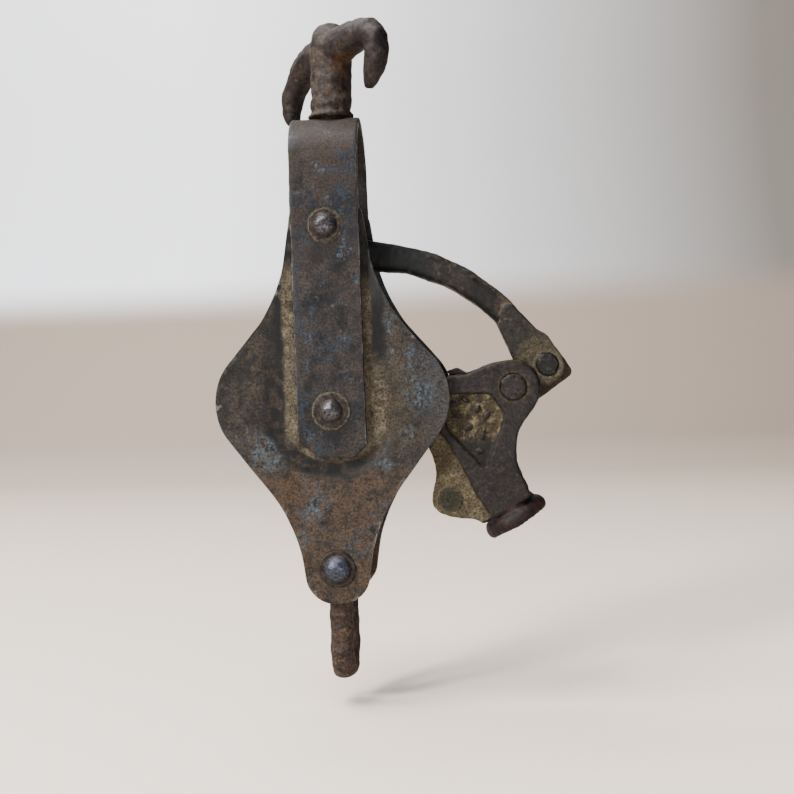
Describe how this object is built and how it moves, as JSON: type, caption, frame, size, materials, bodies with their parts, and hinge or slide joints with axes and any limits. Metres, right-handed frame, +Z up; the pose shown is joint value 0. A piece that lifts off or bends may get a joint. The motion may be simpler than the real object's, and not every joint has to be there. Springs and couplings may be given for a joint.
{
  "type": "self-locking rope hoist block",
  "caption": "Riveted rope block with a swivel hook, a grooved sheave between pressed plates, a rope loop and a toothed self-locking rope grip on a swing arm.",
  "frame": {"origin": "on the swivel axis at the height of the hook's seat, the underside of its horns", "axes": "+Z up along the swivel axis, +X towards the rope lock, +Y from the front plate to the back plate"},
  "size_m": [0.1157, 0.0438, 0.2172],
  "materials": {
    "strap_steel": "worn dark paint over pitted brown steel",
    "plate_steel": "worn blue-grey paint over pitted brown steel",
    "bare_steel": "dull, lightly rusted",
    "rivet_steel": "dark with worn bright crowns",
    "pin_steel": "dark, hammered ends",
    "sheave_iron": "cast, groove rubbed smooth",
    "hook_iron": "dark brown malleable casting with rust",
    "becket_steel": "brown rusted rod",
    "arm_iron": "dark casting, dried dirt at the fork",
    "dog_iron": "dark casting, dried dirt",
    "cheek_iron": "dark casting, tan dried dirt in the recesses"
  },
  "bodies": {
    "block": {"strap": "strap_steel", "front_side_plate": "plate_steel", "back_side_plate": "plate_steel", "axle_sleeve": "bare_steel", "axle_rivet": "rivet_steel", "pivot_rivet": "rivet_steel", "front_arm_spacer": "bare_steel", "back_arm_spacer": "bare_steel", "becket_rivet": "rivet_steel", "becket_sleeve": "bare_steel"},
    "hook": {"swivel_hook": "hook_iron", "swivel_washer": "bare_steel"},
    "wheel": {"sheave": "sheave_iron"},
    "becket": {"becket": "becket_steel"},
    "arm": {"lock_arm": "arm_iron", "tail_pin": "pin_steel"},
    "dog": {"lock_dog": "dog_iron"},
    "lock": {"front_cheek": "cheek_iron", "back_cheek": "cheek_iron", "dog_pin": "pin_steel", "ear_rivet": "pin_steel", "ear_spacer": "bare_steel"}
  },
  "joints": [
    {"name": "hook_swivel", "type": "hinge", "parent": "block", "child": "hook", "pos_m": [0, 0, 0], "axis": [0, 0, 1], "continuous": true},
    {"name": "sheave_spin", "type": "hinge", "parent": "block", "child": "wheel", "pos_m": [-0.0014, 0, -0.1115], "axis": [0, 1, 0], "continuous": true},
    {"name": "becket_swing", "type": "hinge", "parent": "block", "child": "becket", "pos_m": [-0.0014, 0, -0.1628], "axis": [0, -1, 0], "range_deg": [-85, 85]},
    {"name": "arm_lift", "type": "hinge", "parent": "block", "child": "arm", "pos_m": [-0.0014, 0, -0.0522], "axis": [0, -1, 0], "range_deg": [0, 75]},
    {"name": "dog_tilt", "type": "hinge", "parent": "arm", "child": "dog", "pos_m": [0.0682, 0, -0.0991], "axis": [0, 1, 0], "range_deg": [0, 7]},
    {"name": "lock_close", "type": "hinge", "parent": "dog", "child": "lock", "pos_m": [0.057, 0, -0.1059], "axis": [0, 1, 0], "range_deg": [0, 12]}
  ]
}
